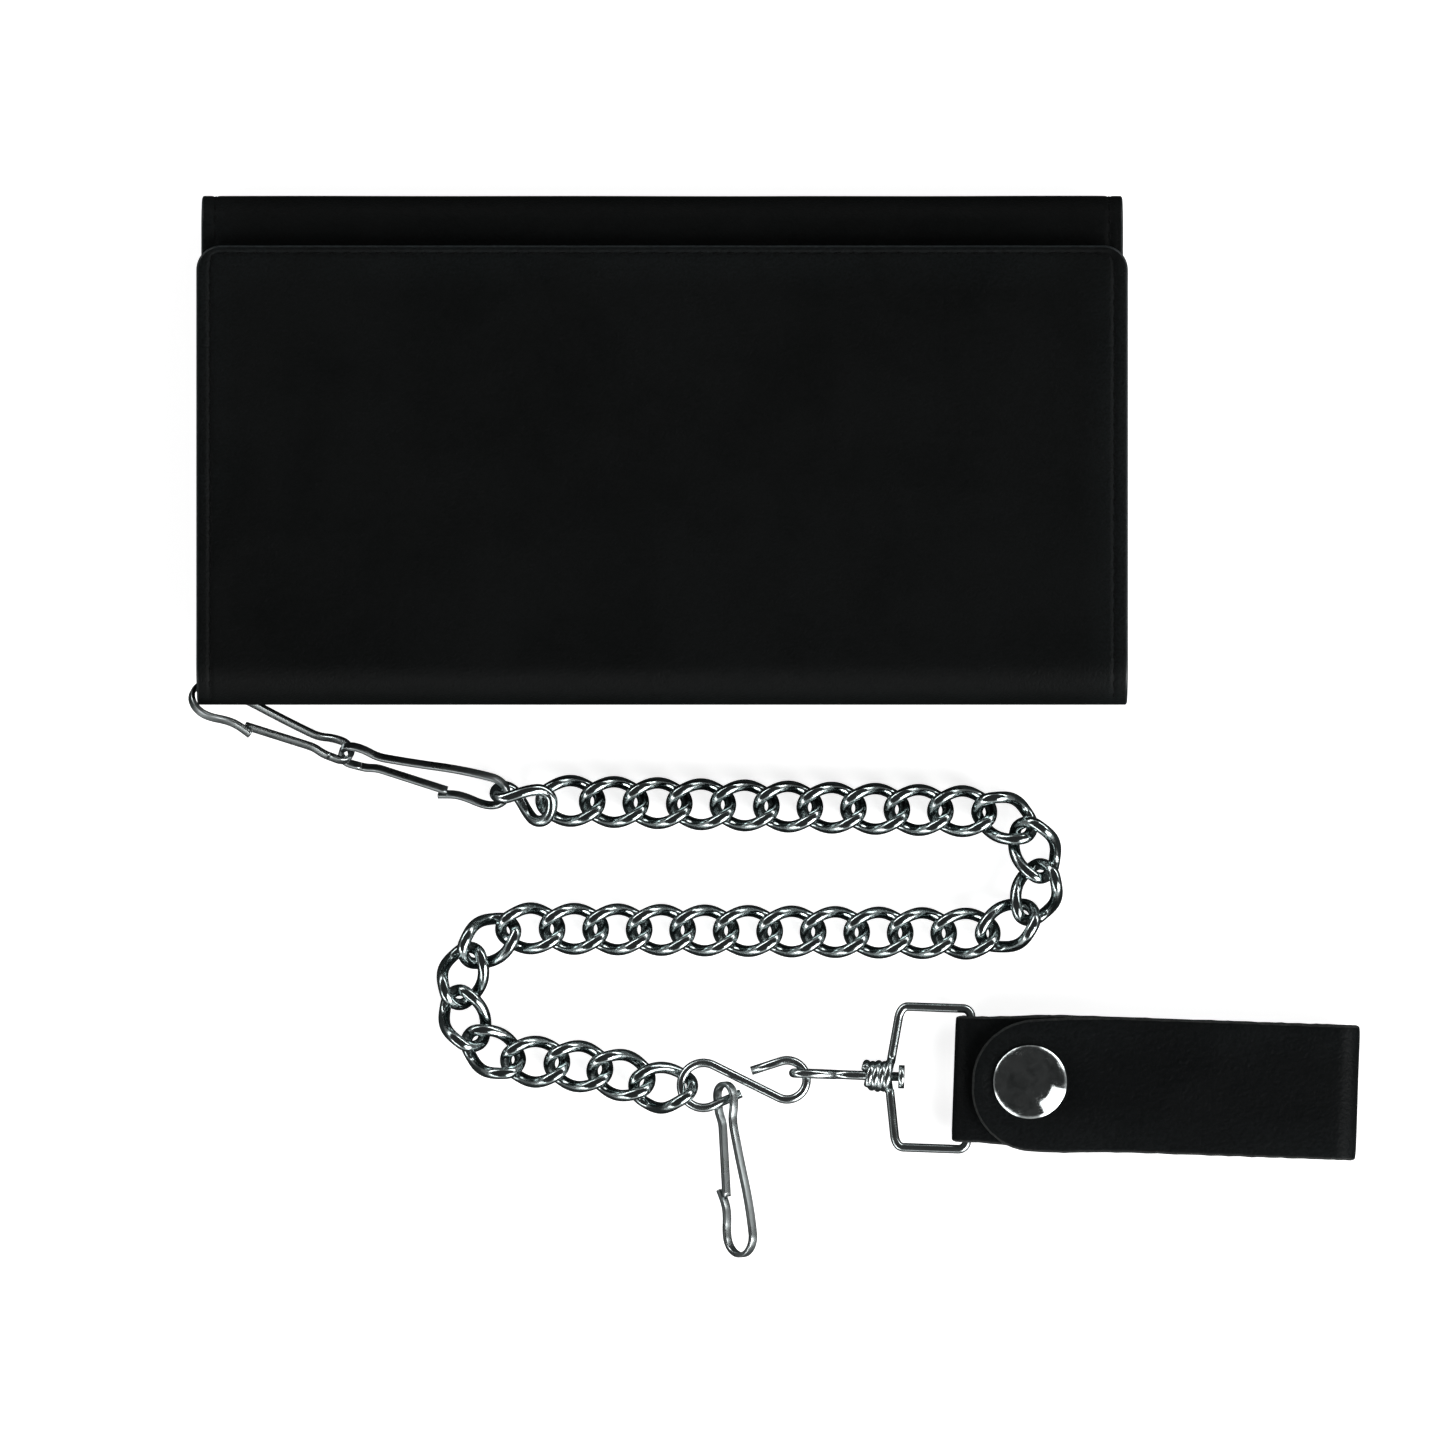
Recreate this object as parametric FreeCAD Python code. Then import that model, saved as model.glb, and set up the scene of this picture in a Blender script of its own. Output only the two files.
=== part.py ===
# Trifold chain wallet: a long leather wallet, two spring clips, a curb chain laid in an S,
# an S hook with a spare key clip, a swivel ring and a leather belt strap with a snap.
# Millimetres. X runs along the wallet, Y up the wallet, Z out of the table.
# Origin: centre of the wallet's back face, which lies on the table.
import FreeCAD
import Part
import math
import os

V = FreeCAD.Vector

# ---- driving dimensions -------------------------------------------------------------------
LEATHER = 1.5              # wallet leather thickness
COVER_LEN = 188.0          # back cover and inner panels along X
FLAP_LEN = 190.5           # front flap along X
HALF_H = 52.0              # half height of the closed wallet
FOLD_R = 8.5               # outer radius of the bottom fold
TOP_R = 6.7                # outer radius of the top fold
FLAP_START = 5.0           # gap from the fold axis to the near edge of the flap
FLAP_TOP = 42.2            # free edge of the flap
CORNER_R = 5.0             # rounded flap corners
LINING = 1.2               # lining thickness
PANEL_START = 4.5          # gap from the top fold axis to the card panel
PANEL_LEN = 40.0           # depth of the card panel
SNAP_X = 60.0              # hidden snaps, left and right of the middle
SNAP_Y = 34.0
ZIP_LEN = 150.0            # coin pocket zipper
ZIP_Y = 8.0

CLIP_THICK = 1.0           # flat spring wire of the clips
CLIP_WIDE = 1.8
EYE_R = 2.6                # centre line of the small eye
HOOK_R = 4.15              # centre line of the wide end
HOOK_U = 28.4              # eye centre to wide end centre
LINK_WIRE = 2.4            # chain wire diameter
LINK_A = 6.3               # half length of the link formula
LINK_B = 4.35              # half width of the link formula
LINK_Q = 0.045             # squareness of the link
LINK_TWIST = -45.0         # twist from the middle to the end of a link
LINK_COUNT = 34
PITCH = 8.89
CHAIN_Z = 3.4
HOOK_WIRE = 1.8            # S hook wire
RING_WIRE = 2.0            # rectangular ring wire
SHANK_WIRE = 1.9
RING_Z = 3.15
STRAP_W = 27.6             # belt strap width
STRAP_T = 2.0              # belt strap thickness
STRAP_LEN = 79.6           # ring bar to the outside of the far fold
STRAP_GAP = 1.0            # room between tab and inner layer for the snap
CAP_R = 7.5                # snap cap


# ---- helpers ------------------------------------------------------------------------------
def unit(v):
    return v * (1.0 / v.Length)


def arc_from(p0, t0, p1):
    """Arc leaving p0 along t0 and ending at p1; a straight line when they are in line."""
    chord = p1 - p0
    u = unit(chord)
    side = t0 - u * t0.dot(u)
    if side.Length < 1e-6:
        return Part.LineSegment(p0, p1).toShape()
    half = math.acos(max(-1.0, min(1.0, t0.dot(u))))
    mid = p0 + chord * 0.5 + unit(side) * (0.5 * chord.Length * math.tan(half / 2))
    return Part.Arc(p0, mid, p1).toShape()


def biarc(p0, t0, p1, t1):
    """Two arcs that join p0 to p1 with the given end directions."""
    v = p1 - p0
    t = t0 + t1
    a = 2 * (1 - t0.dot(t1))
    b = 2 * v.dot(t)
    c = -v.dot(v)
    if a < 1e-9:
        d = -c / b
    else:
        d = (-b + math.sqrt(b * b - 4 * a * c)) / (2 * a)
    mid = (p0 + p1 + (t0 - t1) * d) * 0.5
    first = arc_from(p0, t0, mid)
    start = first.tangentAt(first.LastParameter)
    return [first, arc_from(mid, unit(start), p1)]


def joined(shapes):
    solid = shapes[0]
    if len(shapes) > 1:
        solid = solid.multiFuse(shapes[1:])
    solid = solid.removeSplitter()
    if len(solid.Solids) == 1:
        solid = solid.Solids[0]
    return solid


def tube(edges, diameter):
    """Round wire along a chain of arcs and lines."""
    parts = []
    for edge in edges:
        start = edge.valueAt(edge.FirstParameter)
        way = edge.tangentAt(edge.FirstParameter)
        ring = Part.makeCircle(diameter / 2, start, way)
        face = Part.Face(Part.Wire([ring]))
        parts.append(Part.Wire([edge]).makePipe(face))
    return joined(parts)


def strip(edges, thick, wide):
    """Flat wire along a path in the XY plane, wide across Z."""
    parts = []
    for edge in edges:
        p = edge.valueAt(edge.FirstParameter)
        t = unit(edge.tangentAt(edge.FirstParameter))
        n = V(-t.y, t.x, 0)
        z = V(0, 0, 1)
        corners = []
        for a, b in ((-1, -1), (1, -1), (1, 1), (-1, 1), (-1, -1)):
            corners.append(p + n * (a * thick / 2) + z * (b * wide / 2))
        face = Part.Face(Part.makePolygon(corners))
        parts.append(Part.Wire([edge]).makePipe(face))
    return joined(parts)


def axes(heading, pitch=0.0, roll=0.0):
    """Length, side and normal directions of something pointing along heading."""
    h = math.radians(heading)
    p = math.radians(pitch)
    r = math.radians(roll)
    u = V(math.cos(h) * math.cos(p), math.sin(h) * math.cos(p), math.sin(p))
    side = V(-math.sin(h), math.cos(h), 0)
    up = u.cross(side)
    v = side * math.cos(r) + up * math.sin(r)
    return u, v, u.cross(v)


def placed(shape, where, uvn):
    u, v, n = uvn
    rows = (u.x, v.x, n.x, where.x, u.y, v.y, n.y, where.y, u.z, v.z, n.z, where.z, 0, 0, 0, 1)
    copy = shape.copy()
    copy.Placement = FreeCAD.Placement(FreeCAD.Matrix(*rows))
    return copy


def block(x0, x1, y0, y1, z0, z1):
    return Part.makeBox(x1 - x0, y1 - y0, z1 - z0, V(x0, y0, z0))


def panel(x0, x1, y0, y1, z0, z1, radius, which="top"):
    """Flat leather panel with rounded corners on its free edge."""
    body = block(x0, x1, y0, y1, z0, z1)
    edges = []
    for e in body.Edges:
        m = e.CenterOfMass
        upright = abs(m.z - (z0 + z1) / 2) < 1e-6 and e.Length < abs(z1 - z0) + 1e-6
        free = m.y > (y0 + y1) / 2 if which == "top" else m.y < (y0 + y1) / 2
        if upright and free:
            edges.append(e)
    return body.makeFillet(radius, edges)


def half_fold(x0, x1, y, z, outer, inner, side):
    """Half tube along X, open towards the wallet; side is -1 for the bottom, +1 for the top."""
    tube_out = Part.makeCylinder(outer, x1 - x0, V(x0, y, z), V(1, 0, 0))
    tube_in = Part.makeCylinder(inner, x1 - x0, V(x0, y, z), V(1, 0, 0))
    ring = tube_out.cut(tube_in)
    if side < 0:
        keep = block(x0 - 1, x1 + 1, y - outer - 1, y, z - outer - 1, z + outer + 1)
    else:
        keep = block(x0 - 1, x1 + 1, y, y + outer + 1, z - outer - 1, z + outer + 1)
    return ring.common(keep)


# ---- positions ----------------------------------------------------------------------------
BOTTOM_Y = -HALF_H + FOLD_R          # axis of the bottom fold
TOP_Y = HALF_H - TOP_R               # axis of the top fold
EYES_AT = V(-64.6, -61.7, 4.4)       # where the two clips hang together
EYES_APART = 3.0
CLIP1_AXES = axes(159.0, 10.0, 223.5)
CLIP2_AXES = axes(-14.7, 0.0, 46.0)
LINE = V(math.cos(math.radians(-18)), math.sin(math.radians(-18)), 0)
EYE1 = EYES_AT - LINE * (EYES_APART / 2) + V(0, 0, 0.3)
EYE2 = EYES_AT + LINE * (EYES_APART / 2) - V(0, 0.2, 0.3)
HOOK1 = EYE1 + CLIP1_AXES[0] * HOOK_U
HOOK2 = EYE2 + CLIP2_AXES[0] * HOOK_U

CHAIN_START = V(-27.7, -71.4, CHAIN_Z)
CHAIN_HEADING = -1.5
ROW_1 = 92.8
TURN_1 = (12.5, -179.2)
ROW_2 = 92.2
TURN_2 = (13.6, 179.0)
TURN_3 = (90.0, -30.0)


def chain_path(step=0.05):
    """Fine points along the chain: straight, right turn, straight, left turn, straight."""
    p = V(CHAIN_START.x, CHAIN_START.y, CHAIN_START.z)
    heading = math.radians(CHAIN_HEADING)
    points = [(p, heading)]
    legs = [(ROW_1, 0.0), TURN_1, (ROW_2, 0.0), TURN_2, TURN_3]
    for size, turn in legs:
        length = size if turn == 0.0 else size * math.radians(abs(turn))
        count = int(length / step)
        for i in range(count):
            heading += math.radians(turn) / count
            p = p + V(math.cos(heading), math.sin(heading), 0) * (length / count)
            points.append((p, heading))
    return points


def chain_links():
    """Centre, heading and pitch of every link, walked along the path in equal steps."""
    found = [chain_path()[0]]
    for point, heading in chain_path():
        if (point - found[-1][0]).Length >= PITCH:
            found.append((point, heading))
        if len(found) == LINK_COUNT:
            break
    links = []
    for i, (point, heading) in enumerate(found):
        before = found[max(i - 1, 0)][1]
        after = found[min(i + 1, LINK_COUNT - 1)][1]
        bend = math.degrees(after - before) / 2
        links.append((point, math.degrees(heading), 0.2 * bend))
    return links


def link_axes(index):
    """Where a link sits; the end links ride up on the clip and on the S hook."""
    point, heading, tilt = chain_links()[index]
    from_end = min(index, LINK_COUNT - 1 - index)
    lift = (0.9, 0.3)[from_end] if from_end < 2 else 0.1 * abs(tilt)
    if index == 0:
        return point + V(-0.61, -0.01, 2.48), axes(heading - 18.8, 9.6, 70.2)
    if index == LINK_COUNT - 1:
        return point + V(0.11, 0.03, 0.61), axes(heading + 20.1, 8.9, -6.8)
    return point + V(0, 0, lift), axes(heading, tilt)


# S hook: two loops joined by a diagonal.
HOOK_LEFT = V(8.4, -129.8, 4.2)
HOOK_RIGHT = V(25.5, -128.7, 3.3)
HOOK_RL = 4.6
HOOK_RR = 4.0
KEY_EYE = V(12.9, -132.1, 3.95)
KEY_AXES = axes(-84.0, 3.5, 50.6)
SHANK_Y = -127.9
EYE_X = -33.8                        # round end of the swivel eye, from the ring bar
RING_X = 46.9                        # left side of the ring
RING_W = 15.8
RING_H = 28.8
BELT_TURN = -2.0                     # ring and strap lie slightly turned
BAR = V(RING_X + RING_W, SHANK_Y - 0.65, RING_Z)
TAB_Z = 2 * STRAP_T + 2 * (RING_Z - STRAP_T) + STRAP_GAP
STRAP_R = (TAB_Z + STRAP_T) / 2      # outer radius of the far fold
FAR_X = STRAP_LEN - STRAP_R          # axis of the far fold, from the bar
SNAP_FROM_BAR = 12.4


# ---- wallet -------------------------------------------------------------------------------
def back_cover():
    """Outer leather: back panel with the folds at its bottom and top edges."""
    x = COVER_LEN / 2
    back = block(-x, x, BOTTOM_Y, TOP_Y, 0, LEATHER)
    low = half_fold(-x, x, BOTTOM_Y, FOLD_R, FOLD_R, FOLD_R - LEATHER, -1)
    top = half_fold(-x, x, TOP_Y, TOP_R, TOP_R, TOP_R - LEATHER, 1)
    cover = joined([back, low, top])
    # slot in the lower fold that lets the clip hook round the left end
    turn = math.radians(200)
    out = V(0, math.cos(turn), math.sin(turn))
    centre = V(-86.1, BOTTOM_Y, FOLD_R)
    slot = block(-3.4, 3.4, -2.3, 2.3, 5.5, 11.0)
    for end in (-3.4, 3.4):
        slot = slot.fuse(Part.makeCylinder(2.3, 5.5, V(end, 0, 5.5), V(0, 0, 1)))
    along = V(1, 0, 0)
    return cover.cut(placed(slot, centre, (along, out.cross(along), out)))


def flap_leather():
    y0 = BOTTOM_Y + FLAP_START
    z0 = 2 * FOLD_R - LEATHER
    x = FLAP_LEN / 2
    return panel(-x, x, y0, FLAP_TOP, z0, z0 + LEATHER, CORNER_R)


def flap_lining():
    y0 = BOTTOM_Y + FLAP_START + 1.6
    z1 = 2 * FOLD_R - LEATHER
    x = FLAP_LEN / 2 - 2
    lining = panel(-x, x, y0, FLAP_TOP - 2, z1 - LINING, z1, CORNER_R - 2)
    for side in (-1, 1):
        lining = lining.cut(Part.makeCylinder(5.3, 3, V(side * SNAP_X, SNAP_Y, z1 - 2)))
    return lining


def flap_snap_socket():
    """Two snap sockets let into the flap lining."""
    z1 = 2 * FOLD_R - LEATHER
    sockets = []
    for side in (-1, 1):
        at = V(side * SNAP_X, SNAP_Y, z1 - 1.4)
        ring = Part.makeCylinder(5.2, 1.4, at)
        sockets.append(ring.cut(Part.makeCylinder(2.25, 1.1, at)))
    return Part.makeCompound(sockets)


def card_panel():
    z1 = 2 * TOP_R
    x = COVER_LEN / 2
    y1 = TOP_Y - PANEL_START
    return panel(-x, x, y1 - PANEL_LEN, y1, z1 - LEATHER, z1, 3.0, "bottom")


def card_slots():
    """Stepped card pockets on the inside of the card panel."""
    z1 = 2 * TOP_R - LEATHER
    y1 = TOP_Y - PANEL_START - 4
    steps = []
    for side in (-1, 1):
        for i in range(3):
            low = z1 - 0.6 * (i + 1)
            steps.append(block(side * 45 - 44, side * 45 + 44, y1 - 34, y1 - 9 * i, low, low + 0.6))
    return joined(steps)


def panel_snap_stud():
    """Two snap studs on the outside of the card panel."""
    z1 = 2 * TOP_R
    studs = []
    for side in (-1, 1):
        at = V(side * SNAP_X, SNAP_Y, z1)
        base = Part.makeCylinder(4.6, 0.4, at)
        post = Part.makeCylinder(1.8, 1.5, at)
        studs.append(joined([base, post]))
    return Part.makeCompound(studs)


def bill_pocket_lining():
    x = COVER_LEN / 2 - 1.5
    return block(-x, x, BOTTOM_Y + 1, TOP_Y - 1, LEATHER, LEATHER + 0.9)


def zip_pocket_panel():
    x = COVER_LEN / 2 - 3
    z0 = LEATHER + 0.9
    body = block(-x, x, BOTTOM_Y + 3, TOP_Y - 6, z0, z0 + 1.1)
    half = ZIP_LEN / 2
    window = block(-half, half, ZIP_Y - 4, ZIP_Y + 4, z0 - 1, z0 + 3)
    return body.cut(window)


def zipper_tape():
    """Tape in the window with two rows of teeth."""
    z0 = LEATHER + 0.9
    half = ZIP_LEN / 2
    rows = [block(-half, half, ZIP_Y - 4, ZIP_Y + 4, z0, z0 + 0.7)]
    rows.append(block(-half + 3, half - 3, ZIP_Y - 1.6, ZIP_Y + 1.6, z0 + 0.7, z0 + 1.6))
    return joined(rows)


def zipper_slider():
    """Slider riding over the teeth, with its pull."""
    z0 = LEATHER + 0.9 + 1.6
    x = -ZIP_LEN / 2 + 9
    skirt = block(x - 4, x + 4, ZIP_Y - 3, ZIP_Y + 3, z0 - 0.8, z0 + 1.4)
    channel = block(x - 5, x + 5, ZIP_Y - 1.75, ZIP_Y + 1.75, z0 - 1, z0 + 0.1)
    bail = block(x - 2, x + 3, ZIP_Y - 1.2, ZIP_Y + 1.2, z0 + 1.4, z0 + 2.6)
    pull = block(x + 1, x + 17, ZIP_Y - 2.4, ZIP_Y + 2.4, z0 + 2.2, z0 + 3.2)
    hole = Part.makeCylinder(1.2, 3, V(x + 14, ZIP_Y, z0 + 1.5))
    return joined([skirt.cut(channel), bail, pull]).cut(hole)


# ---- clips --------------------------------------------------------------------------------
def line(p, q):
    return Part.LineSegment(p, q).toShape()


def clip_frame():
    """Eye, long leg, wide end and catch of a spring clip, in its own plane."""
    gate_side = V(1.9, -EYE_R, 0)
    eye_a = V(0, -EYE_R, 0)
    eye_b = V(0, EYE_R, 0)
    neck = V(6.5, 1.6, 0)
    long_end = V(HOOK_U, HOOK_R, 0)
    catch_start = V(HOOK_U, -HOOK_R, 0)
    bend = V(HOOK_U - 4.8, -3.5, 0)
    tip = V(HOOK_U - 9.6, -4.75, 0)
    back = Part.Arc(eye_a, V(-EYE_R, 0, 0), eye_b).toShape()
    hook = Part.Arc(long_end, V(HOOK_U + HOOK_R, 0, 0), catch_start).toShape()
    edges = [line(gate_side, eye_a), back]
    edges += biarc(eye_b, V(1, 0, 0), neck, unit(long_end - neck))
    edges += biarc(neck, unit(long_end - neck), long_end, V(1, 0, 0))
    edges += [hook]
    edges += biarc(catch_start, V(-1, 0, 0), bend, unit(V(-1, 0.05, 0)))
    edges += biarc(bend, unit(V(-1, 0.05, 0)), tip, unit(V(-1, -0.42, 0)))
    return strip(edges, CLIP_THICK, CLIP_WIDE)


def clip_gate():
    """Sprung leg that closes the clip; its tip rests inside the catch."""
    start = V(2.05, -EYE_R, 0)
    neck = V(6.4, -1.9, 0)
    end = V(HOOK_U - 8.1, -3.0, 0)
    edges = biarc(start, V(1, 0, 0), neck, unit(end - neck))
    edges += [line(neck, end)]
    return strip(edges, CLIP_THICK, CLIP_WIDE)


# ---- chain --------------------------------------------------------------------------------
def link_point(t):
    x = LINK_A * (math.cos(t) - LINK_Q * math.cos(3 * t))
    y = LINK_B * (math.sin(t) + LINK_Q * math.sin(3 * t))
    lean = math.radians(LINK_TWIST) * math.sin(math.pi / 2 * x / (LINK_A * (1 - LINK_Q)))
    return V(x, y * math.cos(lean), y * math.sin(lean))


def curb_link():
    """One twisted link as a closed run of arcs."""
    count = 8
    edges = []
    for i in range(count):
        ends = []
        for k in (i, i + 1):
            t = 2 * math.pi * k / count
            ends.append(link_point(t))
            ends.append(unit(link_point(t + 1e-4) - link_point(t - 1e-4)))
        edges += biarc(*ends)
    return tube(edges, LINK_WIRE)


def s_hook():
    """Two loops joined by a diagonal; both tips left a little open."""
    span = HOOK_RIGHT - HOOK_LEFT
    along = unit(span)
    side = unit(V(0, 0, 1).cross(along))
    dist = span.Length
    lean = math.acos((HOOK_RL + HOOK_RR) / dist)

    def on(centre, radius, angle):
        return centre + (along * math.cos(angle) + side * math.sin(angle)) * radius

    top = on(HOOK_LEFT, HOOK_RL, lean)
    low = on(HOOK_RIGHT, HOOK_RR, math.pi + lean)
    leave = math.radians(-70)
    turn_l = Part.Arc(on(HOOK_LEFT, HOOK_RL, leave), on(HOOK_LEFT, HOOK_RL, math.pi * 1.05), top).toShape()
    left_end = on(HOOK_LEFT, HOOK_RL, leave)
    left_way = along * math.sin(-leave) + side * math.cos(leave)
    left_tip = left_end + left_way * 6.4
    close = math.radians(104)
    turn_r = Part.Arc(low, on(HOOK_RIGHT, HOOK_RR, -0.3), on(HOOK_RIGHT, HOOK_RR, close)).toShape()
    right_end = on(HOOK_RIGHT, HOOK_RR, close)
    right_way = along * -math.sin(close) + side * math.cos(close)
    edges = [line(left_tip, left_end), turn_l, line(top, low), turn_r]
    edges += [line(right_end, right_end + right_way * 6.4)]
    return tube(edges, HOOK_WIRE)


def swivel_eye():
    """Folded wire eye with a headed shank that turns inside the ring's coil."""
    rise = 2.1
    top_end = V(EYE_X + 6.6, 0, rise)
    round_top = V(EYE_X, 0, rise)
    round_low = V(EYE_X, 0, -rise)
    low_end = V(EYE_X + 4.2, 0, -rise)
    shank = V(EYE_X + 10.0, 0, 0)
    turn = Part.Arc(round_top, V(EYE_X - rise, 0, 0), round_low).toShape()
    edges = [line(top_end, round_top), turn, line(round_low, low_end)]
    edges += biarc(low_end, V(1, 0, 0), shank, V(1, 0, 0))
    edges += [line(shank, V(1.7 - RING_W, 0, 0))]
    head = Part.makeCylinder(2.4, 1.2, V(1.4 - RING_W, 0, 0), V(1, 0, 0))
    return joined([tube(edges, SHANK_WIRE), head])


def strap_ring():
    """Rectangular ring whose two ends are wound round the swivel shank, in the bar's frame."""
    r = 1.7
    x0 = -RING_W
    h = RING_H / 2
    edges = [line(V(0, -h + r, 0), V(0, h - r, 0))]
    for side in (1, -1):
        a = V(0, side * (h - r), 0)
        b = V(-r, side * h, 0)
        c = V(x0 + 1.2 + r, side * h, 0)
        d = V(x0 + 1.0, side * (h - r - 0.6), 0)
        e = V(x0 - 0.3, side * 2.9, 0)
        edges += [arc_from(a, V(0, side, 0), b), line(b, c)]
        edges += biarc(c, V(-1, 0, 0), d, unit(e - d))
        edges += [line(d, e)]
    ring = tube(edges, RING_WIRE)
    coil = []
    for i in range(4):
        at = V(x0 - 0.4 - 1.55 * i, 0, 0)
        coil.append(Part.makeTorus(1.15 + RING_WIRE / 2, RING_WIRE / 2, at, V(1, 0, 0)))
    return joined([ring] + coil)


# ---- belt strap, drawn along X from the ring bar ------------------------------------------
def strap_plate(x0, x1, z0, z1, nose=0.0):
    w = STRAP_W / 2
    if nose == 0.0:
        return block(x0, x1, -w, w, z0, z1)
    edges = [line(V(x1, -w, z0), V(x1, w, z0)), line(V(x1, w, z0), V(x0 + nose, w, z0))]
    edges += [Part.Arc(V(x0 + nose, w, z0), V(x0, 0, z0), V(x0 + nose, -w, z0)).toShape()]
    edges += [line(V(x0 + nose, -w, z0), V(x1, -w, z0))]
    return Part.Face(Part.Wire(edges)).extrude(V(0, 0, z1 - z0))


def y_tube(x, z, outer, inner, side):
    w = STRAP_W / 2
    ring = Part.makeCylinder(outer, 2 * w, V(x, -w, z), V(0, 1, 0))
    ring = ring.cut(Part.makeCylinder(inner, 2 * w, V(x, -w, z), V(0, 1, 0)))
    if side < 0:
        return ring.common(block(x - 20, x, -50, 50, z - 20, z + 20))
    return ring.common(block(x, x + 20, -50, 50, z - 20, z + 20))


def strap_back():
    """Back layer, wrap round the ring bar, short inner layer and the fold at the far end."""
    corners = ((-9, 12.4), (1.5, 12.4), (6, 14), (6, 20), (-9, 20), (-9, 12.4))
    outline = Part.makePolygon([V(x, y, -9) for x, y in corners])
    waist = Part.Face(outline).extrude(V(0, 0, 18))
    other = waist.mirror(V(0, 0, 0), V(0, 1, 0))
    hold = RING_Z - STRAP_T
    wrap = y_tube(0, 0, hold + STRAP_T, hold, -1)
    low = strap_plate(0, FAR_X, -RING_Z, -RING_Z + STRAP_T)
    inner = strap_plate(0, 27.0, hold, hold + STRAP_T)
    inner = inner.cut(Part.makeCylinder(1.6, 9, V(SNAP_FROM_BAR, 0, -RING_Z - 1)))
    low = low.cut(Part.makeCylinder(1.6, 9, V(SNAP_FROM_BAR, 0, -RING_Z - 1)))
    far = y_tube(FAR_X, STRAP_R - RING_Z, STRAP_R, STRAP_R - STRAP_T, 1)
    return joined([wrap, low, inner, far]).cut(waist).cut(other)


def strap_tab():
    z0 = TAB_Z - RING_Z
    body = strap_plate(0.6, FAR_X - 4.2, z0, z0 + STRAP_T, STRAP_W / 2 - 1.2)
    return body.cut(Part.makeCylinder(2.9, 9, V(SNAP_FROM_BAR, 0, z0 - 3)))


def snap_cap():
    """Domed cap riveted on the tab."""
    z0 = TAB_Z + STRAP_T - RING_Z
    rise = 2.0
    ball = (CAP_R * CAP_R + rise * rise) / (2 * rise)
    dome = Part.makeSphere(ball, V(SNAP_FROM_BAR, 0, z0 + 0.3 + rise - ball))
    dome = dome.common(block(-20, 50, -20, 20, z0 + 0.3, z0 + 9))
    rim = Part.makeCylinder(CAP_R, 0.3, V(SNAP_FROM_BAR, 0, z0))
    return joined([dome, rim])


def snap_socket():
    z0 = TAB_Z - RING_Z
    at = V(SNAP_FROM_BAR, 0, z0 - 0.7)
    plate = Part.makeCylinder(4.8, 0.7, at)
    neck = Part.makeCylinder(2.85, 0.7 + STRAP_T, at)
    return joined([plate, neck]).cut(Part.makeCylinder(2.35, 2.2, at))


def snap_stud():
    """Rivet through the two fixed layers with the stud on top."""
    hold = RING_Z - STRAP_T
    low = -RING_Z
    rivet = Part.makeCylinder(1.55, hold + STRAP_T - low, V(SNAP_FROM_BAR, 0, low))
    base = Part.makeCylinder(4.0, 0.2, V(SNAP_FROM_BAR, 0, hold + STRAP_T))
    knob = Part.makeCylinder(2.0, 1.9, V(SNAP_FROM_BAR, 0, hold + STRAP_T))
    return joined([rivet, base, knob])


# ---- build --------------------------------------------------------------------------------
def save(shape, name):
    shape.exportStep("parts/" + name + ".step")


def main():
    os.makedirs("parts", exist_ok=True)
    for make in (back_cover, flap_leather, flap_lining, flap_snap_socket, card_panel, card_slots,
                 panel_snap_stud, bill_pocket_lining, zip_pocket_panel, zipper_tape, zipper_slider,
                 s_hook):
        save(make(), make.__name__)
    frame = clip_frame()
    gate = clip_gate()
    for name, eye, way in (("wallet_clip", EYE1, CLIP1_AXES), ("chain_clip", EYE2, CLIP2_AXES),
                           ("key_clip", KEY_EYE, KEY_AXES)):
        save(placed(frame, eye, way), name)
        save(placed(gate, eye, way), name + "_gate")
    link = curb_link()
    for i in range(LINK_COUNT):
        point, way = link_axes(i)
        save(placed(link, point, way), "link_%02d" % (i + 1))
    belt = axes(BELT_TURN)
    for make in (swivel_eye, strap_ring, strap_back, strap_tab, snap_cap, snap_socket, snap_stud):
        save(placed(make(), BAR, belt), make.__name__)


main()
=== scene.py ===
import math

import bmesh
import bpy
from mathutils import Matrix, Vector, noise


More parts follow.
